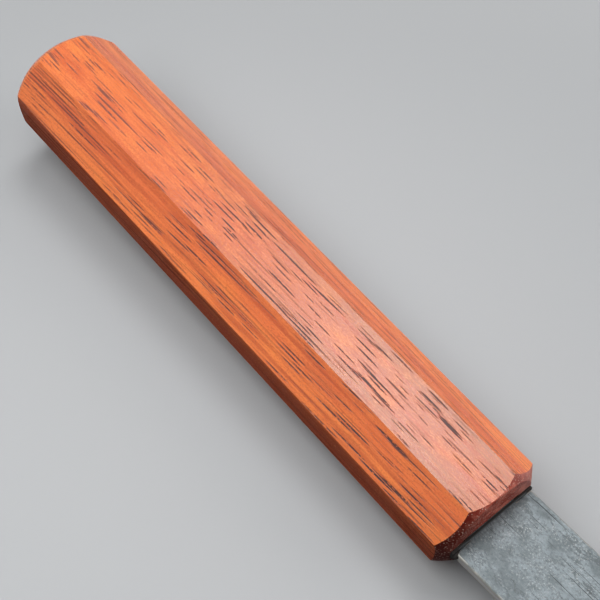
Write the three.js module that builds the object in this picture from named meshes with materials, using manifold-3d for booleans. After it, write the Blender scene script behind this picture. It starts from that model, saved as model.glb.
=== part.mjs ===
// A nakiri kitchen knife with a one-piece eight-sided wooden handle, lying on its side.
// Millimetres, +Z up. X runs from the butt to the tip, +Y is the side of the spine.
// The pieces are drawn from the middle of the handle's front face, with the blade's middle plane at
// z = 0, and the whole knife is then set down on z = 0, centred over the origin.

import * as THREE from 'three';
import { ConvexGeometry } from 'three/addons/geometries/ConvexGeometry.js';
import { mergeVertices } from 'three/addons/utils/BufferGeometryUtils.js';
import Module from 'manifold-3d';

const wasm = await Module();
wasm.setup();

const degrees = THREE.MathUtils.degToRad;

// Handle: an eight-sided bar that swells a little towards the butt
const HANDLE_LENGTH = 131;
const FRONT_HEIGHT = 23;
const FRONT_THICKNESS = 19.6;
const FRONT_CORNER_CUT = 6.15;
const BUTT_HEIGHT = 24.1;
const BUTT_THICKNESS = 20.9;
const BUTT_CORNER_CUT = 6.6;

// The front end is turned to a cone, the butt is eased along its eight sides
const FRONT_FACE_DIAMETER = 19.3;
const FRONT_CONE_ANGLE = degrees(49);
const BUTT_EASING = 1.6;
const BUTT_EASING_ANGLE = degrees(48);

// Blade: it rises a little towards the spine, and its shoulders stand off the handle's front face
const NECK_LENGTH = 20;
const NECK_WIDTH = 17.9;
const SHOULDER_GAP = 0.55;
const SHOULDER_ROUND_LENGTH = 0.8;
const SHOULDER_ROUND_HEIGHT = 2.6;
const BLADE_LENGTH = 165;
const BLADE_HEIGHT = 50;
const BLADE_RISE = degrees(2);
const HEEL_FILLET = 5;
const TIP_SPINE_RADIUS = 26;
const TIP_EDGE_RADIUS = 5;
const EDGE_BELLY = 1.6;

// Layers: a hard core between two claddings, all ground together down to the edge
const CORE_THICKNESS = 0.75;
const CLADDING_THICKNESS = 0.75;
const EDGE_THICKNESS = 0.25;
const BEVEL_HEIGHT = 22;

// Tang: a tapering tongue of all three layers, bedded in a blind slot
const TANG_LENGTH = 92;
const TANG_ROOT_WIDTH = 11;
const TANG_END_WIDTH = 7;

// Resin bed between the tang and the slot
const RESIN_COVER = 0.6;
const RESIN_SIDE = 1;
const RESIN_END = 4;
const RESIN_RECESS = 0.4;
const TANG_CLEARANCE = 0.3;

// Fineness of round forms, how far a cutting shape stands past what it cuts, and the distance below
// which two corners are one
const TURNED_SIDES = 72;
const ARC_STEPS = 14;
const CUT_MARGIN = 5;
const SAME_POINT = 1e-4;

const BLADE_THICKNESS = CORE_THICKNESS + 2 * CLADDING_THICKNESS;
const SLOT_WIDTH = TANG_ROOT_WIDTH + 2 * RESIN_SIDE;
const SLOT_THICKNESS = BLADE_THICKNESS + 2 * RESIN_COVER;
const SLOT_DEPTH = TANG_LENGTH + RESIN_END;

const finishes = {
  wood: new THREE.MeshStandardMaterial({ color: 0xc9642f, roughness: 0.5, metalness: 0 }),
  iron: new THREE.MeshStandardMaterial({ color: 0x6f787c, roughness: 0.6, metalness: 0.7 }),
  steel: new THREE.MeshStandardMaterial({ color: 0xb4b6b8, roughness: 0.35, metalness: 0.9 }),
  resin: new THREE.MeshStandardMaterial({ color: 0x1b1714, roughness: 0.6, metalness: 0 }),
};

// Booleans: a closed geometry becomes a solid, and a solid becomes a geometry again
function solidOf(geometry) {
  const bare = geometry.clone();
  bare.deleteAttribute('normal');
  bare.deleteAttribute('uv');
  const merged = mergeVertices(bare, SAME_POINT);
  const vertProperties = new Float32Array(merged.attributes.position.array);
  const triVerts = new Uint32Array(merged.index.array);
  return new wasm.Manifold(new wasm.Mesh({ numProp: 3, vertProperties, triVerts }));
}

function geometryOf(solid) {
  const { vertProperties, triVerts } = solid.getMesh();
  const geometry = new THREE.BufferGeometry();
  geometry.setAttribute('position', new THREE.BufferAttribute(new Float32Array(vertProperties), 3));
  geometry.setIndex(new THREE.BufferAttribute(new Uint32Array(triVerts), 1));
  geometry.computeVertexNormals();
  return geometry;
}

function named(name, geometry, finish) {
  const mesh = new THREE.Mesh(geometry, finish);
  mesh.name = name;
  return mesh;
}

// A box from its two corners
function boxBetween(low, high) {
  const size = new THREE.Vector3().subVectors(high, low);
  const middle = new THREE.Vector3().addVectors(low, high).multiplyScalar(0.5);
  return new THREE.BoxGeometry(size.x, size.y, size.z).translate(middle.x, middle.y, middle.z);
}

// The eight corners of the handle's section at x
function handleCorners(x, height, thickness, cornerCut) {
  const corners = [];
  for (const side of [1, -1]) {
    for (const face of [1, -1]) {
      corners.push(new THREE.Vector3(x, side * height / 2, face * (thickness / 2 - cornerCut)));
      corners.push(new THREE.Vector3(x, side * (height / 2 - cornerCut), face * thickness / 2));
    }
  }
  return corners;
}

// A round bar along X with one coned end: the end has its face at faceX and looks along direction.
// Length is measured back from the face, and flattening narrows the bar in Z.
function conedBar(faceX, direction, length, faceRadius, coneAngle, barRadius, flattening) {
  const coneLength = (barRadius - faceRadius) / Math.tan(coneAngle);
  const profile = [
    new THREE.Vector2(0, -length),
    new THREE.Vector2(barRadius, -length),
    new THREE.Vector2(barRadius, -coneLength),
    new THREE.Vector2(faceRadius, 0),
    new THREE.Vector2(0, 0),
  ];
  const bar = new THREE.LatheGeometry(profile, TURNED_SIDES);
  bar.rotateZ(-direction * Math.PI / 2);
  bar.scale(1, 1, flattening);
  bar.translate(faceX, 0, 0);
  return bar;
}

function makeHandle() {
  const bar = new ConvexGeometry([
    ...handleCorners(0, FRONT_HEIGHT, FRONT_THICKNESS, FRONT_CORNER_CUT),
    ...handleCorners(-HANDLE_LENGTH, BUTT_HEIGHT, BUTT_THICKNESS, BUTT_CORNER_CUT),
  ]);
  const barRadius = Math.max(FRONT_HEIGHT, BUTT_HEIGHT, FRONT_THICKNESS, BUTT_THICKNESS);
  const barLength = HANDLE_LENGTH + CUT_MARGIN;
  const turnedFront = conedBar(
    0, 1, barLength, FRONT_FACE_DIAMETER / 2, FRONT_CONE_ANGLE, barRadius, 1,
  );
  const easedButt = conedBar(
    -HANDLE_LENGTH, -1, barLength, BUTT_HEIGHT / 2 - BUTT_EASING, BUTT_EASING_ANGLE, barRadius,
    BUTT_THICKNESS / BUTT_HEIGHT,
  );
  const slot = boxBetween(
    new THREE.Vector3(-SLOT_DEPTH, -SLOT_WIDTH / 2, -SLOT_THICKNESS / 2),
    new THREE.Vector3(CUT_MARGIN, SLOT_WIDTH / 2, SLOT_THICKNESS / 2),
  );
  const handle = solidOf(bar)
    .intersect(solidOf(turnedFront))
    .intersect(solidOf(easedButt))
    .subtract(solidOf(slot));
  return named('handle', geometryOf(handle), finishes.wood);
}

// Heights on the blade, counted from its own middle line, which leaves the handle's axis at the
// front face and rises by BLADE_RISE
const SPINE_LINE = NECK_WIDTH / 2;
const NECK_UNDERSIDE = -NECK_WIDTH / 2;
const EDGE_LINE = SPINE_LINE - BLADE_HEIGHT;
const HEEL_X = NECK_LENGTH;
const TIP_X = NECK_LENGTH + BLADE_LENGTH;

const risen = (x, height) => height + x * Math.tan(BLADE_RISE);

// The outline of tang, neck and blade, seen from above
function bladeOutline() {
  const outline = new THREE.Shape();
  const to = (x, height) => outline.lineTo(x, risen(x, height));
  const bend = (cornerX, cornerHeight, x, height) => {
    outline.quadraticCurveTo(cornerX, risen(cornerX, cornerHeight), x, risen(x, height));
  };
  outline.moveTo(-TANG_LENGTH, -TANG_END_WIDTH / 2);
  outline.lineTo(SHOULDER_GAP, -TANG_ROOT_WIDTH / 2);
  to(SHOULDER_GAP, NECK_UNDERSIDE + SHOULDER_ROUND_HEIGHT);
  bend(SHOULDER_GAP, NECK_UNDERSIDE, SHOULDER_GAP + SHOULDER_ROUND_LENGTH, NECK_UNDERSIDE);
  to(HEEL_X - HEEL_FILLET, NECK_UNDERSIDE);
  bend(HEEL_X, NECK_UNDERSIDE, HEEL_X, NECK_UNDERSIDE - HEEL_FILLET);
  to(HEEL_X, EDGE_LINE);
  bend((HEEL_X + TIP_X) / 2, EDGE_LINE - EDGE_BELLY, TIP_X - TIP_EDGE_RADIUS, EDGE_LINE + EDGE_BELLY);
  bend(TIP_X, EDGE_LINE + EDGE_BELLY, TIP_X, EDGE_LINE + EDGE_BELLY + TIP_EDGE_RADIUS);
  to(TIP_X, SPINE_LINE - TIP_SPINE_RADIUS);
  bend(TIP_X, SPINE_LINE, TIP_X - TIP_SPINE_RADIUS, SPINE_LINE);
  to(SHOULDER_GAP, SPINE_LINE);
  outline.lineTo(SHOULDER_GAP, TANG_ROOT_WIDTH / 2);
  outline.lineTo(-TANG_LENGTH, TANG_END_WIDTH / 2);
  outline.closePath();
  return outline;
}

// A flat sheet of an outline, from one height to another
function sheet(outline, lowZ, highZ) {
  const settings = { depth: highZ - lowZ, bevelEnabled: false, curveSegments: ARC_STEPS };
  return new THREE.ExtrudeGeometry(outline, settings).translate(0, 0, lowZ);
}

// What the grindstone takes off one side of the blade, above a plane that falls from the full
// thickness at the top of the bevel to the edge
function groundAway(face) {
  const fall = (BLADE_THICKNESS - EDGE_THICKNESS) / 2;
  const slope = Math.atan(fall / BEVEL_HEIGHT);
  const stoneDepth = BLADE_THICKNESS + CUT_MARGIN;
  const stone = boxBetween(
    new THREE.Vector3(-CUT_MARGIN, -BLADE_HEIGHT, Math.min(0, face * stoneDepth)),
    new THREE.Vector3(TIP_X + CUT_MARGIN, 0, Math.max(0, face * stoneDepth)),
  );
  stone.rotateX(face * slope);
  stone.rotateZ(BLADE_RISE);
  return stone.translate(0, EDGE_LINE + BEVEL_HEIGHT, face * BLADE_THICKNESS / 2);
}

function makeBlade() {
  const outline = bladeOutline();
  const upperStone = solidOf(groundAway(1));
  const lowerStone = solidOf(groundAway(-1));
  const coreFace = CORE_THICKNESS / 2;
  const outerFace = BLADE_THICKNESS / 2;
  const core = solidOf(sheet(outline, -coreFace, coreFace)).subtract(upperStone).subtract(lowerStone);
  const upper = solidOf(sheet(outline, coreFace, outerFace)).subtract(upperStone);
  const lower = solidOf(sheet(outline, -outerFace, -coreFace)).subtract(lowerStone);
  return [
    named('blade_core', geometryOf(core), finishes.steel),
    named('upper_cladding', geometryOf(upper), finishes.iron),
    named('lower_cladding', geometryOf(lower), finishes.iron),
  ];
}

// The bed fills the slot around the tang, from its blind end almost to the front face
function makeResinBed() {
  const filling = boxBetween(
    new THREE.Vector3(-SLOT_DEPTH, -SLOT_WIDTH / 2, -SLOT_THICKNESS / 2),
    new THREE.Vector3(-RESIN_RECESS, SLOT_WIDTH / 2, SLOT_THICKNESS / 2),
  );
  const tangRoom = new THREE.Shape();
  const endWidth = TANG_END_WIDTH / 2 + TANG_CLEARANCE;
  const rootWidth = TANG_ROOT_WIDTH / 2 + TANG_CLEARANCE;
  tangRoom.moveTo(-TANG_LENGTH - TANG_CLEARANCE, -endWidth);
  tangRoom.lineTo(SHOULDER_GAP, -rootWidth);
  tangRoom.lineTo(SHOULDER_GAP, rootWidth);
  tangRoom.lineTo(-TANG_LENGTH - TANG_CLEARANCE, endWidth);
  tangRoom.closePath();
  const room = sheet(tangRoom, -BLADE_THICKNESS / 2, BLADE_THICKNESS / 2);
  const bed = solidOf(filling).subtract(solidOf(room));
  return named('tang_resin_bed', geometryOf(bed), finishes.resin);
}

const knife = new THREE.Group();
knife.add(makeHandle(), ...makeBlade(), makeResinBed());

// Set down on z = 0, with the middle of its length and width over the origin
const extent = new THREE.Box3().setFromObject(knife);
const middle = extent.getCenter(new THREE.Vector3());
knife.position.set(-middle.x, -middle.y, -extent.min.z);

export default knife;
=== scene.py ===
import math

import bmesh
import bpy
from mathutils import Matrix, Quaternion, Vector


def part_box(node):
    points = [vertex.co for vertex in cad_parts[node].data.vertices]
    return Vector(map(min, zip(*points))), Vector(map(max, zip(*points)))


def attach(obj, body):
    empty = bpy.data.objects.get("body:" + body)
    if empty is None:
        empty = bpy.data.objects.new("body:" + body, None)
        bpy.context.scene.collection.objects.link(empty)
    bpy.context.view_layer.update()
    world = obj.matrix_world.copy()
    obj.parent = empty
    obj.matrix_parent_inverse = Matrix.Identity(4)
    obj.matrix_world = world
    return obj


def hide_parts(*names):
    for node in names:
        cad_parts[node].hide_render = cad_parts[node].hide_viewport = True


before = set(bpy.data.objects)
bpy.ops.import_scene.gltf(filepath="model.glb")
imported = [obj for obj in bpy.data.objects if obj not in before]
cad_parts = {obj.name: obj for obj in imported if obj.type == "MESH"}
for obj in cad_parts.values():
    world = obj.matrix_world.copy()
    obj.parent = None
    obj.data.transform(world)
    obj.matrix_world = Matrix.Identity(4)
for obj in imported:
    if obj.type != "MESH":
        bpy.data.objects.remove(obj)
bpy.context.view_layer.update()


# Blade core
# The hard-steel middle layer of the blade, forged between two layers of soft iron, with its share of the
# tang. Grinding lays it bare along the cutting edge, where it is polished brighter than the iron above it.

MM_PER_METRE = 1000.0
BLADE_RISE = math.radians(2)
STROKE_MM = 14.0
CORE_GREY = (0.35, 0.35, 0.346, 1)
CORE_BRIGHT = (0.44, 0.444, 0.449, 1)
CORE_LINES = (0.27, 0.27, 0.27, 1)


def put(tree, kind, inputs, **settings):
    """Adds a shader node, and links or sets each of its inputs."""
    made = tree.nodes.new(kind)
    for name, value in settings.items():
        setattr(made, name, value)
    for socket, value in inputs.items():
        if isinstance(value, bpy.types.NodeSocket):
            tree.links.new(value, made.inputs[socket])
        else:
            made.inputs[socket].default_value = value
    return made


def placed(tree, group, **inputs):
    """Places a shader group with its own values, and gives what it puts out."""
    return put(tree, "ShaderNodeGroup", inputs, node_tree=group).outputs


def reckon(tree, operation, *values):
    """One step of arithmetic on masks and values."""
    return put(tree, "ShaderNodeMath", dict(enumerate(values)), operation=operation).outputs[0]


def graded(tree, value, times, plus):
    """A value times one number plus another."""
    return reckon(tree, "MULTIPLY_ADD", value, times, plus)


def rising(tree, value, low, high, to_low=0.0, to_high=1.0):
    """A mask that changes smoothly as the value goes from low to high."""
    inputs = {"Value": value, "From Min": low, "From Max": high, "To Min": to_low, "To Max": to_high}
    return put(tree, "ShaderNodeMapRange", inputs, interpolation_type="SMOOTHSTEP").outputs[0]


def stain(tree, mask, under, over):
    """Lays one colour over another where the mask is on. Sockets 6 and 7 of a Mix node are its colours."""
    return put(tree, "ShaderNodeMix", {0: mask, 6: under, 7: over}, data_type="RGBA").outputs[2]


def shift(tree, operation, *places):
    """One step of arithmetic on places."""
    return put(tree, "ShaderNodeVectorMath", dict(enumerate(places)), operation=operation).outputs[0]


def measured(tree, place, along, across):
    """The place counted in a size along the knife and a size across it, both in millimetres."""
    scale = (MM_PER_METRE / along, MM_PER_METRE / across, MM_PER_METRE / across)
    return shift(tree, "MULTIPLY", place, scale)


def patches(tree, place, detail=2.0, roughness=0.5):
    """Soft random patches, one to each unit of the place."""
    inputs = {"Vector": place, "Scale": 1.0, "Detail": detail, "Roughness": roughness}
    return put(tree, "ShaderNodeTexNoise", inputs).outputs[0]


def relief(tree, shader, height, strength, depth):
    """Raises and sinks the surface by a height from 0 to 1 times the depth."""
    inputs = {"Strength": strength, "Distance": depth, "Height": height}
    tree.links.new(put(tree, "ShaderNodeBump", inputs).outputs["Normal"], shader.inputs["Normal"])


def new_group(name, inputs, outputs):
    """An empty shader group with named sockets, its inputs and its outputs."""
    group = bpy.data.node_groups.new(name, "ShaderNodeTree")
    for socket, kind in inputs:
        group.interface.new_socket(name=socket, in_out="INPUT", socket_type=kind)
    for socket in outputs:
        group.interface.new_socket(name=socket, in_out="OUTPUT", socket_type="NodeSocketFloat")
    return group, group.nodes.new("NodeGroupInput").outputs, group.nodes.new("NodeGroupOutput").inputs


def new_material(name):
    """A new material, its nodes, its shader and the piece's own coordinates."""
    material = bpy.data.materials.new(name)
    material.use_nodes = True
    tree = material.node_tree
    place = put(tree, "ShaderNodeTexCoord", {}).outputs["Object"]
    return material, tree, tree.nodes["Principled BSDF"], place


def grinding_group():
    """Fine lines left by a grindstone along the blade, and the few deeper scratches among them."""
    group, given, result = new_group(
        "grinding_lines", (("Place", "NodeSocketVector"),), ("Lines", "Scratches")
    )
    turned = put(
        group,
        "ShaderNodeVectorRotate",
        {"Vector": given["Place"], "Angle": -BLADE_RISE},
        rotation_type="Z_AXIS",
    ).outputs[0]
    fine = patches(group, measured(group, turned, STROKE_MM, across=0.09), detail=3.0, roughness=0.6)
    deep = patches(group, measured(group, turned, STROKE_MM, across=0.24), detail=1.0)
    where = patches(group, measured(group, turned, STROKE_MM, across=4.0), detail=1.0)
    deep = rising(group, deep, 0.67, 0.71)
    where = rising(group, where, 0.42, 0.50)
    group.links.new(fine, result["Lines"])
    group.links.new(reckon(group, "MULTIPLY", deep, where), result["Scratches"])
    return group


grinding_lines = grinding_group()


def bare_core_steel():
    """Hard steel polished on a fine stone."""
    material, tree, shader, place = new_material("bare_core_steel")
    lines = placed(tree, grinding_lines, Place=place)["Lines"]
    haze = patches(tree, measured(tree, place, along=9.0, across=2.5), detail=3.0)
    colour = stain(tree, rising(tree, haze, 0.35, 0.7), CORE_GREY, CORE_BRIGHT)
    colour = stain(tree, rising(tree, lines, 0.35, 0.7, to_high=0.4), colour, CORE_LINES)
    tree.links.new(colour, shader.inputs["Base Color"])
    tree.links.new(graded(tree, lines, times=0.22, plus=0.30), shader.inputs["Roughness"])
    shader.inputs["Metallic"].default_value = 1.0
    relief(tree, shader, lines, strength=0.25, depth=0.00002)
    return material


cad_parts["blade_core"].data.materials[0] = bare_core_steel()


# Upper and lower cladding
# The soft-iron layers on both sides of the core, forge-welded to it. The flats and the neck keep the grey
# forge scale, the bevel is ground bare, and the spine and the neck's edges are eased and rubbed bright.

CLADDING_EASING = 0.0003
WHOLE_FACE_ANGLE = math.radians(0.5)
EASED_EDGE_ANGLE = math.radians(20)
SAME_PLACE = 1e-6
ON_THE_CORE = 0.0001
BEVEL_HEIGHT = 0.022
BEVEL_RAGGEDNESS = 0.003
BEVEL_SOFTNESS = 0.0004
SOOT_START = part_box("handle")[1].x + 0.0006
SOOT_END = SOOT_START + 0.0016
SOOT_COVER = 0.45
SMOKE_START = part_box("handle")[1].x + 0.016
SMOKE_END = SMOKE_START + 0.025
FROST_COVER = 0.85
SCALE_DARK = (0.128, 0.153, 0.163, 1)
SCALE_PALE = (0.215, 0.253, 0.271, 1)
CRUST = (0.088, 0.104, 0.111, 1)
CRUST_RIM = (0.060, 0.070, 0.075, 1)
SMOKE = (0.070, 0.083, 0.089, 1)
FROST = (0.38, 0.405, 0.41, 1)
SCRATCH = (0.035, 0.04, 0.044, 1)
SOOT = (0.060, 0.068, 0.072, 1)
BARE_IRON = (0.36, 0.356, 0.345, 1)
BARE_IRON_LINES = (0.25, 0.246, 0.238, 1)
RUBBED_IRON = (0.40, 0.38, 0.34, 1)


def merged_copy(node):
    """The mesh of a solid with its corners joined and its flat faces whole."""
    body = bmesh.new()
    body.from_mesh(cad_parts[node].data)
    bmesh.ops.remove_doubles(body, verts=body.verts, dist=SAME_PLACE)
    bmesh.ops.dissolve_limit(body, angle_limit=WHOLE_FACE_ANGLE, verts=body.verts, edges=body.edges)
    return body


def ease(body, edges, width, segments):
    """Rounds the edges and marks the rounded faces, which are smooth and carry the wear."""
    worn = body.loops.layers.float.get("worn_edge") or body.loops.layers.float.new("worn_edge")
    rounded = bmesh.ops.bevel(
        body,
        geom=edges,
        offset=width,
        offset_type="OFFSET",
        segments=segments,
        profile=0.5,
        affect="EDGES",
        clamp_overlap=True,
        material=-1,
    )
    for face in rounded["faces"]:
        face.smooth = True
        for loop in face.loops:
            loop[worn] = 1.0


def finished(body, name, materials):
    """Makes the piece, fixed to the knife, from its mesh and its materials."""
    mesh = bpy.data.meshes.new(name)
    body.to_mesh(mesh)
    body.free()
    for material in materials:
        mesh.materials.append(material)
    piece = bpy.data.objects.new(name, mesh)
    bpy.context.scene.collection.objects.link(piece)
    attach(piece, "root")
    return piece


def split(tree, place):
    """The X, Y and Z of a place."""
    return put(tree, "ShaderNodeSeparateXYZ", {0: place}).outputs


def stretched(tree, place, times):
    """The place times one number."""
    return put(tree, "ShaderNodeVectorMath", {0: place, "Scale": times}, operation="SCALE").outputs[0]


def between(tree, mask, under, over):
    """Goes from one value to another as the mask comes on. Sockets 2 and 3 of a Mix node are its values."""
    return put(tree, "ShaderNodeMix", {0: mask, 2: under, 3: over}, data_type="FLOAT").outputs[0]


def lying(tree):
    """How level the surface lies, from 0 on an upright side to 1 where it faces straight up or down."""
    facing = put(tree, "ShaderNodeTexCoord", {}).outputs["Normal"]
    return reckon(tree, "ABSOLUTE", split(tree, facing)["Z"])


def wear_group():
    """Patchy wear that follows the eased edges of a piece."""
    group, given, result = new_group(
        "worn_edges", (("Place", "NodeSocketVector"), ("Patch", "NodeSocketFloat")), ("Wear",)
    )
    edge = put(group, "ShaderNodeAttribute", {}, attribute_name="worn_edge").outputs["Fac"]
    counted = stretched(group, given["Place"], reckon(group, "DIVIDE", MM_PER_METRE, given["Patch"]))
    patchy = rising(group, patches(group, counted, detail=3.0), 0.3, 0.65)
    group.links.new(reckon(group, "MULTIPLY", edge, patchy), result["Wear"])
    return group


worn_edges = wear_group()
core_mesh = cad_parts["blade_core"].data
# How low the cutting edge lies, measured square to it.
edge_line = min(
    vertex.co.y * math.cos(BLADE_RISE) - vertex.co.x * math.sin(BLADE_RISE)
    for vertex in core_mesh.vertices
)


def forge_scale(tree, place, clouds, flakes, scratches):
    """The colour of the scale: clouds, crusted islands, flakes, smoke, frost, scratches and soot."""
    colour = stain(tree, rising(tree, clouds, 0.36, 0.62), SCALE_DARK, SCALE_PALE)
    islands = patches(tree, measured(tree, place, along=4.4, across=2.0), detail=7.0, roughness=0.68)
    spread = patches(tree, measured(tree, place, along=30.0, across=16.0))
    spread = rising(tree, spread, 0.36, 0.60, to_low=0.25, to_high=0.85)
    crusted = reckon(tree, "MULTIPLY", rising(tree, islands, 0.54, 0.565), spread)
    colour = stain(tree, crusted, colour, CRUST)
    rim_start = rising(tree, islands, 0.525, 0.545)
    rim_end = rising(tree, islands, 0.58, 0.56)
    lifting = patches(tree, measured(tree, place, along=7.0, across=4.0), detail=1.0)
    lifting = rising(tree, lifting, 0.45, 0.60, to_high=0.6)
    rims = reckon(tree, "MULTIPLY", reckon(tree, "MULTIPLY", rim_start, rim_end), lifting)
    colour = stain(tree, rims, colour, CRUST_RIM)
    colour = stain(tree, rising(tree, flakes, 0.48, 0.66, to_high=0.75), colour, CRUST)
    forward = split(tree, place)["X"]
    smoke = patches(tree, measured(tree, place, along=42.0, across=13.0), detail=4.0)
    smoke = rising(tree, smoke, 0.40, 0.62, to_high=0.62)
    smoked = reckon(tree, "MULTIPLY", smoke, rising(tree, forward, SMOKE_START, SMOKE_END))
    colour = stain(tree, smoked, colour, SMOKE)
    frosted = patches(tree, measured(tree, place, along=8.0, across=5.0))
    frosted = rising(tree, frosted, 0.42, 0.62, to_low=0.15)
    frosted = reckon(tree, "MULTIPLY", frosted, reckon(tree, "SUBTRACT", FROST_COVER, smoked))
    specks = patches(tree, measured(tree, place, along=0.34, across=0.28), detail=3.0, roughness=0.7)
    frost = reckon(tree, "MULTIPLY", rising(tree, specks, 0.52, 0.70), frosted)
    colour = stain(tree, frost, colour, FROST)
    colour = stain(tree, scratches, colour, SCRATCH)
    near_handle = rising(tree, forward, SOOT_END, SOOT_START, to_high=SOOT_COVER)
    soot = reckon(tree, "MULTIPLY", near_handle, rising(tree, flakes, 0.3, 0.6))
    return stain(tree, soot, colour, SOOT)


def ground_bevel(tree, place, clouds):
    """On over the ground bevel, up to a slightly ragged line above the cutting edge."""
    lifted = put(
        tree,
        "ShaderNodeMapping",
        {"Vector": place, "Rotation": (0, 0, -BLADE_RISE), "Location": (0, -edge_line, 0)},
    ).outputs[0]
    height = reckon(tree, "SUBTRACT", split(tree, lifted)["Y"], BEVEL_RAGGEDNESS / 2)
    height = graded(tree, clouds, times=BEVEL_RAGGEDNESS, plus=height)
    return rising(tree, height, BEVEL_HEIGHT + BEVEL_SOFTNESS, BEVEL_HEIGHT - BEVEL_SOFTNESS)


def clad_iron():
    """Soft iron under grey forge scale, bare on the ground bevel and along the rubbed edges."""
    material, tree, shader, place = new_material("clad_iron")
    ground = placed(tree, grinding_lines, Place=place)
    clouds = patches(tree, measured(tree, place, along=4.0, across=2.6), detail=5.0, roughness=0.62)
    flakes = patches(tree, measured(tree, place, along=0.6, across=0.45), detail=4.0, roughness=0.75)
    scale = forge_scale(tree, place, clouds, flakes, ground["Scratches"])
    bare = stain(tree, rising(tree, ground["Lines"], 0.35, 0.7), BARE_IRON, BARE_IRON_LINES)
    bevel = ground_bevel(tree, place, clouds)
    side = rising(tree, lying(tree), 0.75, 0.45)
    wear = placed(tree, worn_edges, Place=place, Patch=1.5)["Wear"]
    rubbed = reckon(tree, "MAXIMUM", side, reckon(tree, "MULTIPLY", wear, 0.8))
    exposed = reckon(tree, "MAXIMUM", bevel, rubbed)
    colour = stain(tree, bevel, scale, bare)
    colour = stain(tree, rubbed, colour, RUBBED_IRON)
    tree.links.new(colour, shader.inputs["Base Color"])
    tree.links.new(graded(tree, exposed, times=0.75, plus=0.15), shader.inputs["Metallic"])
    dull = graded(tree, flakes, times=0.25, plus=0.42)
    bright = graded(tree, ground["Lines"], times=0.25, plus=0.36)
    tree.links.new(between(tree, exposed, dull, bright), shader.inputs["Roughness"])
    crust = graded(tree, flakes, times=0.5, plus=reckon(tree, "MULTIPLY", clouds, 0.5))
    crust = graded(tree, ground["Scratches"], times=-0.5, plus=crust)
    lines = reckon(tree, "MULTIPLY", ground["Lines"], 0.25)
    relief(tree, shader, between(tree, exposed, crust, lines), strength=0.5, depth=0.0001)
    return material


def clad_layer(node, material):
    """One layer, with every edge eased that doesn't lie on the core."""
    core_low, core_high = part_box("blade_core")
    body = merged_copy(node)
    outer = []
    for edge in body.edges:
        ends = [vertex.co for vertex in edge.verts]
        on_core = [min(abs(end.z - core_low.z), abs(end.z - core_high.z)) < ON_THE_CORE for end in ends]
        if not any(on_core) and edge.calc_face_angle(0.0) > EASED_EDGE_ANGLE:
            outer.append(edge)
    ease(body, outer, CLADDING_EASING, segments=3)
    layer = finished(body, "scaled_" + node, [material])
    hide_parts(node)


iron = clad_iron()
clad_layer("upper_cladding", iron)
clad_layer("lower_cladding", iron)


# Handle
# One block of oiled orange-red hardwood, planed to eight sides and turned to a cone at the front. Its edges
# are eased with fine paper, the butt more than the rest, and its open vessels show as dark dashes.

HANDLE_EASING = 0.00025
BUTT_EASING = 0.0006
BUTT_DEPTH = 0.003
SLOT_REACH = 0.0075
END_GRAIN_LEAN = 0.4
TURNED_LEAN = 0.95
UPRIGHT_LEAN = 0.9
# Places in the handle's list of materials, where the oiled sides are 0.
RUBBED_SIDE = 1
END_CUT = 2
VESSEL_LEAN = (0.0, 0.0, 0.048)
THREAD_LEAN = (0.0, 0.014, 0.028)
VESSEL_WAVER = (0.0, 0.0009, 0.0009)
VESSEL_TAPER = 2.4
HALF_THICKNESS_MM = 12.0
LAYER_WAVE_MM = 1.6
# Each growth layer's height from the wood's middle in millimetres, and its colour. Besides the wood's
# banding these colours paint light: the dark layers round the middle are painted shade on the upright
# sides, the brightest lie at the chamfers' height, and the top's is darker than the chamfers' to offset the
# stronger light on it.
GROWTH_LAYERS_AND_SHADE = (
    (-10.5, (0.76, 0.175, 0.052, 1)),
    (-7.0, (0.90, 0.225, 0.060, 1)),
    (-3.0, (0.36, 0.060, 0.022, 1)),
    (0.0, (0.21, 0.033, 0.014, 1)),
    (2.4, (0.40, 0.072, 0.024, 1)),
    (3.8, (0.95, 0.235, 0.060, 1)),
    (6.0, (0.97, 0.250, 0.064, 1)),
    (7.4, (0.90, 0.200, 0.056, 1)),
    (8.8, (0.84, 0.180, 0.052, 1)),
    (10.5, (0.76, 0.180, 0.044, 1)),
)
QUIET_SIDE = 0.004
FILLED_LENGTH = 0.075
# Painted shade on the top flat grows from the butt and is full this far before the front.
TOP_SHADE_FULL_BEFORE_FRONT = 0.02
# Where the painted sheen on the end grain starts and is full, sideways from the handle's middle.
SHEEN_SIDE = (0.002, 0.009)
# Where the painted shade on the front cone starts and is full, on the other side.
SHADE_SIDE = (-0.001, -0.008)
# The colour of the painted shade on the top flat.
TOP_SHADE_WOOD = (0.26, 0.082, 0.027, 1)
BANDED_WOOD = (0.66, 0.115, 0.036, 1)
GOLDEN_WOOD = (1.0, 0.30, 0.05, 1)
FIBRE_WOOD = (0.98, 0.29, 0.085, 1)
FIGURED_WOOD = (0.50, 0.066, 0.021, 1)
DARK_SPECK = (0.42, 0.080, 0.034, 1)
PALE_SPECK = (0.98, 0.38, 0.14, 1)
VESSEL_HALO = (0.42, 0.065, 0.026, 1)
OPEN_VESSEL = (0.060, 0.020, 0.017, 1)
FILLED_VESSEL = (0.21, 0.050, 0.028, 1)
RUBBED_WOOD = (0.92, 0.33, 0.11, 1)
END_DARK = (0.27, 0.036, 0.022, 1)
END_PALE = (0.60, 0.175, 0.125, 1)
# The painted sheen, pale and greyish, on the end grain's side towards the lamps.
END_PAINTED_SHEEN = (0.75, 0.40, 0.36, 1)
# The painted shade on the front cone's side away from the lamps.
END_PAINTED_SHADE = (0.060, 0.006, 0.004, 1)
END_FLECK = (0.60, 0.40, 0.33, 1)
END_RUBBED = (0.42, 0.10, 0.05, 1)

handle_low, handle_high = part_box("handle")
handle_axis = (handle_low + handle_high) / 2


def distance(tree, place):
    """How far the place is from the origin."""
    return put(tree, "ShaderNodeVectorMath", {0: place}, operation="LENGTH").outputs["Value"]


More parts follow.
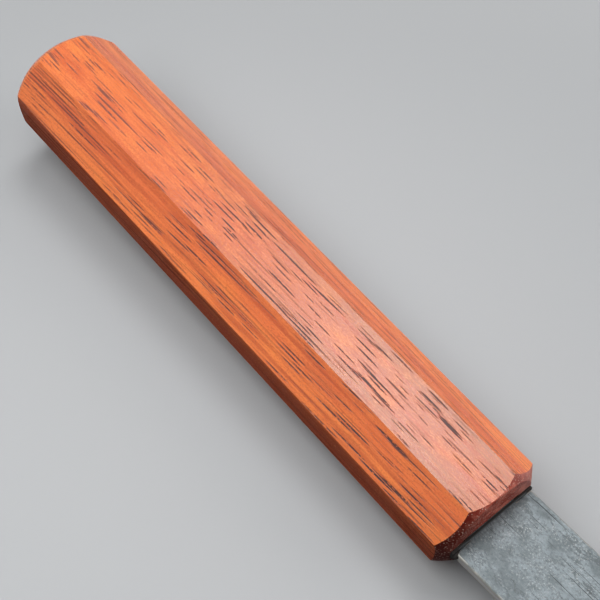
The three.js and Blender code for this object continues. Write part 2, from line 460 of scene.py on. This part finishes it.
def vessel_group():
    """Long thin vessels that lean a little out of the wood's length, so that a side cuts each to a dash."""
    group, given, result = new_group(
        "wood_vessels",
        (
            ("Place", "NodeSocketVector"),
            ("Lean", "NodeSocketVector"),
            ("Length", "NodeSocketFloat"),
            ("Spacing", "NodeSocketFloat"),
            ("Width", "NodeSocketFloat"),
        ),
        ("Vessel", "Halo", "Chance"),
    )
    climb = stretched(group, given["Lean"], split(group, given["Place"])["X"])
    leaning = shift(group, "SUBTRACT", given["Place"], climb)
    grown = measured(group, leaning, along=34.0, across=9.0)
    waver = put(group, "ShaderNodeTexNoise", {"Vector": grown, "Scale": 1.0}).outputs["Color"]
    wavering = shift(group, "MULTIPLY_ADD", waver, VESSEL_WAVER, leaning)
    cell = put(
        group,
        "ShaderNodeCombineXYZ",
        {"X": given["Length"], "Y": given["Spacing"], "Z": given["Spacing"]},
    ).outputs[0]
    counted = shift(group, "DIVIDE", stretched(group, wavering, MM_PER_METRE), cell)
    inputs = {"Vector": counted, "Scale": 1.0, "Randomness": 1.0}
    nearest = put(group, "ShaderNodeTexVoronoi", inputs).outputs
    offset = shift(group, "SUBTRACT", counted, nearest["Position"])
    chance = put(group, "ShaderNodeSeparateColor", {"Color": nearest["Color"]}).outputs
    girth = graded(group, chance["Red"], times=0.36, plus=0.28)
    half_width = reckon(group, "MULTIPLY", given["Width"], girth)
    across = reckon(group, "DIVIDE", given["Spacing"], half_width)
    shape = put(group, "ShaderNodeCombineXYZ", {"X": VESSEL_TAPER, "Y": across, "Z": across}).outputs[0]
    reach = distance(group, shift(group, "MULTIPLY", offset, shape))
    group.links.new(rising(group, reach, 1.1, 0.8), result["Vessel"])
    group.links.new(rising(group, reach, 2.6, 0.9), result["Halo"])
    group.links.new(chance["Green"], result["Chance"])
    return group


wood_vessels = vessel_group()


def layer_and_shade_colour(tree, height):
    """The colour of the growth layer, with its painted shade and light, that a height in millimetres from
    the wood's middle falls in.
    """
    share = graded(tree, height, times=0.5 / HALF_THICKNESS_MM, plus=0.5)
    made = put(tree, "ShaderNodeValToRGB", {"Fac": share})
    stops = made.color_ramp.elements
    stops.remove(stops[1])
    for layer, colour in GROWTH_LAYERS_AND_SHADE:
        stops.new(layer / (2 * HALF_THICKNESS_MM) + 0.5).color = colour
    stops.remove(stops[0])
    return made.outputs[0]


def cut_vessels(tree, place, spot, streaks):
    """The open vessels and threads that a side cuts, fainter towards the spine, and the vessels' halo."""
    vessels = placed(
        tree, wood_vessels, Place=place, Lean=VESSEL_LEAN, Length=43.0, Spacing=0.56, Width=0.31
    )
    threads = placed(
        tree, wood_vessels, Place=place, Lean=THREAD_LEAN, Length=70.0, Spacing=0.62, Width=0.32
    )
    broken = patches(tree, measured(tree, place, along=0.9, across=0.3), detail=1.0)
    broken = rising(tree, broken, 0.30, 0.42)
    likely = rising(tree, vessels["Chance"], 0.15, 0.55, to_low=0.15)
    dashes = reckon(tree, "MULTIPLY", vessels["Vessel"], likely)
    dashes = reckon(tree, "MULTIPLY", dashes, broken)
    bundled = rising(tree, streaks, 0.40, 0.56, to_low=0.2)
    bundled = reckon(tree, "MULTIPLY", bundled, rising(tree, threads["Chance"], 0.0, 0.35))
    lines = reckon(tree, "MULTIPLY", threads["Vessel"], bundled)
    lines = reckon(tree, "MULTIPLY", lines, rising(tree, broken, 0.0, 1.0, to_low=0.75))
    sideways = reckon(tree, "SUBTRACT", spot["Y"], handle_axis.y)
    quiet = rising(tree, sideways, QUIET_SIDE, 2 * QUIET_SIDE, to_low=1.0, to_high=0.45)
    opened = reckon(tree, "MULTIPLY", reckon(tree, "MAXIMUM", dashes, lines), quiet)
    return opened, vessels["Halo"]


def side_grain(name, sheen, roughness):
    """Oiled wood cut along the grain: growth layers, fine fibres and dark open vessels, with shade painted
    on the upright sides and on the top.
    """
    material, tree, shader, place = new_material(name)
    spot = split(tree, place)
    bands = patches(tree, measured(tree, place, along=110.0, across=4.5))
    above = reckon(tree, "SUBTRACT", spot["Z"], handle_axis.z)
    above = graded(tree, above, times=MM_PER_METRE, plus=-LAYER_WAVE_MM / 2)
    # The growth layers' colour, which also paints shade on the upright sides and the light on the chamfers
    # and the top.
    colour = layer_and_shade_colour(tree, graded(tree, bands, times=LAYER_WAVE_MM, plus=above))
    level = lying(tree)
    flat = rising(tree, level, 0.85, 0.97)
    # Painted shade: the top flat darkens towards the front, where the diffuse light on it is weaker, so the
    # sheen shows there.
    top_front_shade = rising(tree, spot["X"], handle_low.x, handle_high.x - TOP_SHADE_FULL_BEFORE_FRONT, to_high=0.85)
    colour = stain(tree, reckon(tree, "MULTIPLY", flat, top_front_shade), colour, TOP_SHADE_WOOD)
    colour = stain(tree, rising(tree, bands, 0.62, 0.40, to_high=0.3), colour, BANDED_WOOD)
    mottle = patches(tree, measured(tree, place, along=10.0, across=3.4), detail=3.0)
    golden = rising(tree, mottle, 0.48, 0.72, to_high=0.28)
    golden = reckon(tree, "MULTIPLY", rising(tree, level, 0.3, 0.6), golden)
    colour = stain(tree, golden, colour, GOLDEN_WOOD)
    fibres = patches(tree, measured(tree, place, along=7.0, across=0.18), roughness=0.6)
    colour = stain(tree, rising(tree, fibres, 0.45, 0.8, to_high=0.3), colour, FIBRE_WOOD)
    streaks = patches(tree, measured(tree, place, along=60.0, across=1.5))
    figured = graded(tree, flat, times=-0.1, plus=0.5)
    figured = reckon(tree, "MULTIPLY", figured, rising(tree, streaks, 0.52, 0.62))
    colour = stain(tree, figured, colour, FIGURED_WOOD)
    speckle = patches(tree, measured(tree, place, along=0.5, across=0.25), roughness=0.7)
    colour = stain(tree, rising(tree, speckle, 0.5, 0.72, to_high=0.5), colour, DARK_SPECK)
    colour = stain(tree, rising(tree, speckle, 0.5, 0.28, to_high=0.3), colour, PALE_SPECK)
    opened, halo = cut_vessels(tree, place, spot, streaks)
    colour = stain(tree, reckon(tree, "MULTIPLY", halo, 0.3), colour, VESSEL_HALO)
    filled = rising(tree, spot["X"], handle_low.x + FILLED_LENGTH, handle_low.x)
    colour = stain(tree, opened, colour, stain(tree, filled, OPEN_VESSEL, FILLED_VESSEL))
    wear = placed(tree, worn_edges, Place=place, Patch=4.0)["Wear"]
    colour = stain(tree, reckon(tree, "MULTIPLY", wear, 0.3), colour, RUBBED_WOOD)
    tree.links.new(colour, shader.inputs["Base Color"])
    rough = graded(tree, speckle, times=0.12, plus=roughness)
    rough = graded(tree, mottle, times=0.14, plus=rough)
    tree.links.new(graded(tree, opened, times=0.3, plus=rough), shader.inputs["Roughness"])
    shader.inputs["Specular IOR Level"].default_value = sheen
    grain = graded(tree, speckle, times=0.8, plus=reckon(tree, "MULTIPLY", fibres, 0.25))
    relief(tree, shader, reckon(tree, "SUBTRACT", grain, opened), strength=0.4, depth=0.0001)
    return material


def end_grain():
    """The same wood cut across the grain, which drinks the oil and turns dark, with pale vessel ends, a
    painted sheen on its side towards the lamps and painted shade on the front cone's other side.
    """
    material, tree, shader, place = new_material("oiled_end_grain")
    rings = patches(tree, measured(tree, place, along=8.0, across=1.8), detail=3.0)
    rings = rising(tree, rings, 0.35, 0.7)
    colour = stain(tree, rings, END_DARK, END_PALE)
    spot = split(tree, place)
    sideways = reckon(tree, "SUBTRACT", spot["Y"], handle_axis.y)
    # Painted sheen: the end grain is paler and greyer on the side that faces the lamps.
    colour = stain(tree, rising(tree, sideways, *SHEEN_SIDE, to_high=0.3), colour, END_PAINTED_SHEEN)
    # Painted shade: towards the front, the cone is near black on its side that faces away from the lamps.
    front = rising(tree, spot["X"], handle_low.x, handle_high.x)
    cone_shade = reckon(tree, "MULTIPLY", front, rising(tree, sideways, *SHADE_SIDE, to_high=0.75))
    colour = stain(tree, cone_shade, colour, END_PAINTED_SHADE)
    ends = placed(
        tree, wood_vessels, Place=place, Lean=VESSEL_LEAN, Length=46.0, Spacing=0.36, Width=0.26
    )
    flecks = reckon(tree, "MULTIPLY", ends["Vessel"], rising(tree, ends["Chance"], 0.1, 0.7))
    colour = stain(tree, reckon(tree, "MULTIPLY", flecks, 0.8), colour, END_FLECK)
    wear = placed(tree, worn_edges, Place=place, Patch=2.0)["Wear"]
    colour = stain(tree, reckon(tree, "MULTIPLY", wear, 0.3), colour, END_RUBBED)
    tree.links.new(colour, shader.inputs["Base Color"])
    tree.links.new(graded(tree, rings, times=0.15, plus=0.5), shader.inputs["Roughness"])
    shader.inputs["Specular IOR Level"].default_value = 0.03
    relief(tree, shader, graded(tree, rings, times=0.3, plus=flecks), strength=0.5, depth=0.0001)
    return material


def sharp_edges(body):
    """The outside edges that are still sharp."""
    sharp = []
    for edge in body.edges:
        spread = (edge.verts[0].co + edge.verts[1].co) / 2 - handle_axis
        outside = math.hypot(spread.y, spread.z) > SLOT_REACH
        if outside and edge.calc_face_angle(0.0) > EASED_EDGE_ANGLE:
            sharp.append(edge)
    return sharp


block = merged_copy("handle")
for face in block.faces:
    face.smooth = END_GRAIN_LEAN < abs(face.normal.x) < TURNED_LEAN
    if face.normal.x > END_GRAIN_LEAN or face.normal.x < -TURNED_LEAN:
        face.material_index = END_CUT
    elif abs(face.normal.y) > UPRIGHT_LEAN:
        face.material_index = RUBBED_SIDE
butt_edges = [
    edge
    for edge in sharp_edges(block)
    if max(vertex.co.x for vertex in edge.verts) < handle_low.x + BUTT_DEPTH
]
ease(block, butt_edges, BUTT_EASING, segments=4)
ease(block, sharp_edges(block), HANDLE_EASING, segments=3)
handle = finished(
    block,
    "oiled_handle",
    [
        side_grain("oiled_side_grain", sheen=0.58, roughness=0.16),
        side_grain("rubbed_side_grain", sheen=0.03, roughness=0.37),
        end_grain(),
    ],
)
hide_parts("handle")


# Tang bed
# Black resin that fills the slot round the tang and the gap between the handle's front and the neck's
# shoulders, and holds the blade. A drop of it was left at the corner on the side of the edge.

JOINT_REACH = 0.0094
JOINT_HEIGHT = 0.00236
JOINT_EASING = 0.00005
SHOULDER_GAP = 0.00055
DUST_START = 0.00025
DUST_REACH = 0.0083
DUST_FADE = 0.001
DROP_PLACE = Vector((0.0009, -0.0085, 0.0003))
DROP_SIZE = (0.0006, 0.0011, 0.0008)
RESIN_BLACK = (0.030, 0.027, 0.025, 1)
RESIN_SMEARED = (0.062, 0.056, 0.052, 1)
SCALE_DUST = (0.140, 0.162, 0.172, 1)


def set_resin():
    """Black resin, wiped while soft, with a few small bubbles and dust of the scale towards the blade."""
    material, tree, shader, place = new_material("set_resin")
    smear = patches(tree, measured(tree, place, along=1.2, across=2.2), detail=3.0)
    colour = stain(tree, smear, RESIN_BLACK, RESIN_SMEARED)
    spot = split(tree, place)
    dust_start = handle_high.x + DUST_START
    dust_end = handle_high.x + SHOULDER_GAP
    bladeward = rising(tree, spot["X"], dust_start, dust_end, to_high=0.75)
    sideways = reckon(tree, "ABSOLUTE", reckon(tree, "SUBTRACT", spot["Y"], handle_axis.y))
    inside = rising(tree, sideways, DUST_REACH, DUST_REACH - DUST_FADE)
    colour = stain(tree, reckon(tree, "MULTIPLY", bladeward, inside), colour, SCALE_DUST)
    tree.links.new(colour, shader.inputs["Base Color"])
    tree.links.new(graded(tree, smear, times=0.3, plus=0.5), shader.inputs["Roughness"])
    shader.inputs["Specular IOR Level"].default_value = 0.04
    bubbles = patches(tree, measured(tree, place, along=0.3, across=0.3), detail=1.0)
    relief(tree, shader, graded(tree, bubbles, times=0.4, plus=smear), strength=0.5, depth=0.00008)
    return material


bed = merged_copy("tang_resin_bed")
core_low, core_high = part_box("blade_core")
front_middle = Vector((handle_high.x, handle_axis.y, (core_low.z + core_high.z) / 2))
joint = bmesh.ops.create_cube(bed, size=1.0)["verts"]
bmesh.ops.scale(bed, vec=(SHOULDER_GAP, 2 * JOINT_REACH, JOINT_HEIGHT), verts=joint)
bmesh.ops.translate(bed, vec=front_middle + Vector((SHOULDER_GAP / 2, 0, 0)), verts=joint)
joint_edges = {edge for vertex in joint for edge in vertex.link_edges}
ease(bed, list(joint_edges), JOINT_EASING, segments=2)
drop = bmesh.ops.create_icosphere(bed, subdivisions=3, radius=1.0)["verts"]
bmesh.ops.scale(bed, vec=DROP_SIZE, verts=drop)
bmesh.ops.translate(bed, vec=front_middle + DROP_PLACE, verts=drop)
for face in {face for vertex in drop for face in vertex.link_faces}:
    face.smooth = True
resin = finished(bed, "resin_bed", [set_resin()])
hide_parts("tang_resin_bed")


# Floor, lamps and camera
# The knife lies on a pale sheet, on the handle's front edge and the blade's tip, under three soft lamps.
# Away from the knife the sheet glows, to look even. The camera above the heel looks back at the handle.

FLOOR_SIZE = 8.0
# The sheet starts to glow at the first multiple of its reach, and only glows from the second on.
FLOOR_REACH = (0.22, 0.14, 0.14)
NEAR_FLOOR = 0.7
FAR_FLOOR = 1.2
FLOOR_PALE = (0.44, 0.45, 0.46, 1)
FLOOR_BOUNCE = (0.06, 0.065, 0.07, 1)
WORLD_PALE = (0.50, 0.51, 0.52, 1)
WORLD_FILL = (0.055, 0.058, 0.06, 1)
UNLIT = (0, 0, 0, 1)
FRONT_REST = Vector((-0.0271, 0.0, 0.00064))
TIP_REST = Vector((0.158, 0.0, 0.00932))
LAMP_AIM = Vector((-0.06, 0.01, 0.0))
LAMPS = (
    {"name": "near_lamp", "place": (-0.115, -0.05, 0.21), "size": 0.20, "power": 0.45},
    {"name": "high_lamp", "place": (-0.30, 0.343, 0.875), "size": 0.38, "power": 3.4},
    {"name": "front_lamp", "place": (0.30, 0.43, 0.30), "size": 0.40, "power": 1.9},
)
CAMERA_PLACE = (0.01037, -0.05873, 0.20550)
CAMERA_HEADING = math.radians(50.94)
CAMERA_TILT = math.radians(31.32)
CAMERA_ROLL = math.radians(-0.60)
CAMERA_LENS = 72.09
CAMERA_NEAREST = 0.01


def seen(tree):
    """On for rays from the camera, and for those that a mirror or a glass passes on."""
    path = put(tree, "ShaderNodeLightPath", {}).outputs
    direct = reckon(tree, "MAXIMUM", path["Is Camera Ray"], path["Is Glossy Ray"])
    return reckon(tree, "MAXIMUM", direct, path["Is Transmission Ray"])


sheet_material, sheet_tree, sheet_shader, sheet_place = new_material("pale_sheet")
sheet_seen = seen(sheet_tree)
away = distance(sheet_tree, shift(sheet_tree, "DIVIDE", sheet_place, FLOOR_REACH))
distant = reckon(sheet_tree, "MULTIPLY", sheet_seen, rising(sheet_tree, away, NEAR_FLOOR, FAR_FLOOR))
sheet_colour = stain(sheet_tree, sheet_seen, FLOOR_BOUNCE, FLOOR_PALE)
sheet_colour = stain(sheet_tree, distant, sheet_colour, UNLIT)
sheet_tree.links.new(sheet_colour, sheet_shader.inputs["Base Color"])
sheet_glow = stain(sheet_tree, distant, UNLIT, WORLD_PALE)
sheet_tree.links.new(sheet_glow, sheet_shader.inputs["Emission Color"])
sheet_shader.inputs["Emission Strength"].default_value = 1.0
sheet_shader.inputs["Roughness"].default_value = 0.9
sheet_shader.inputs["Specular IOR Level"].default_value = 0.1

floor_rise = math.atan2(TIP_REST.z - FRONT_REST.z, TIP_REST.x - FRONT_REST.x)
sheet = bmesh.new()
bmesh.ops.create_grid(sheet, x_segments=1, y_segments=1, size=FLOOR_SIZE / 2)
bmesh.ops.rotate(sheet, cent=(0, 0, 0), matrix=Matrix.Rotation(-floor_rise, 3, "Y"), verts=sheet.verts)
bmesh.ops.translate(sheet, vec=FRONT_REST, verts=sheet.verts)
floor_mesh = bpy.data.meshes.new("floor")
sheet.to_mesh(floor_mesh)
sheet.free()
floor_mesh.materials.append(sheet_material)
floor = bpy.data.objects.new("floor", floor_mesh)
bpy.context.scene.collection.objects.link(floor)

for lamp in LAMPS:
    light = bpy.data.lights.new(lamp["name"], "AREA")
    light.size = lamp["size"]
    light.energy = lamp["power"]
    stand = bpy.data.objects.new(lamp["name"], light)
    stand.location = lamp["place"]
    stand.rotation_euler = (LAMP_AIM - stand.location).to_track_quat("-Z", "Y").to_euler()
    bpy.context.scene.collection.objects.link(stand)

world = bpy.data.worlds.new("studio")
world.use_nodes = True
world_tree = world.node_tree
world_colour = stain(world_tree, seen(world_tree), WORLD_FILL, WORLD_PALE)
world_tree.links.new(world_colour, world_tree.nodes["Background"].inputs["Color"])
bpy.context.scene.world = world

camera_data = bpy.data.cameras.new("camera")
camera_data.lens = CAMERA_LENS
camera_data.clip_start = CAMERA_NEAREST
camera = bpy.data.objects.new("camera", camera_data)
camera.location = CAMERA_PLACE
turn = Quaternion((0, 0, 1), CAMERA_HEADING)
tilt = Quaternion((1, 0, 0), CAMERA_TILT)
roll = Quaternion((0, 0, 1), CAMERA_ROLL)
camera.rotation_euler = (turn @ tilt @ roll).to_euler()
bpy.context.scene.collection.objects.link(camera)
bpy.context.scene.camera = camera
bpy.context.scene.view_settings.view_transform = "Standard"
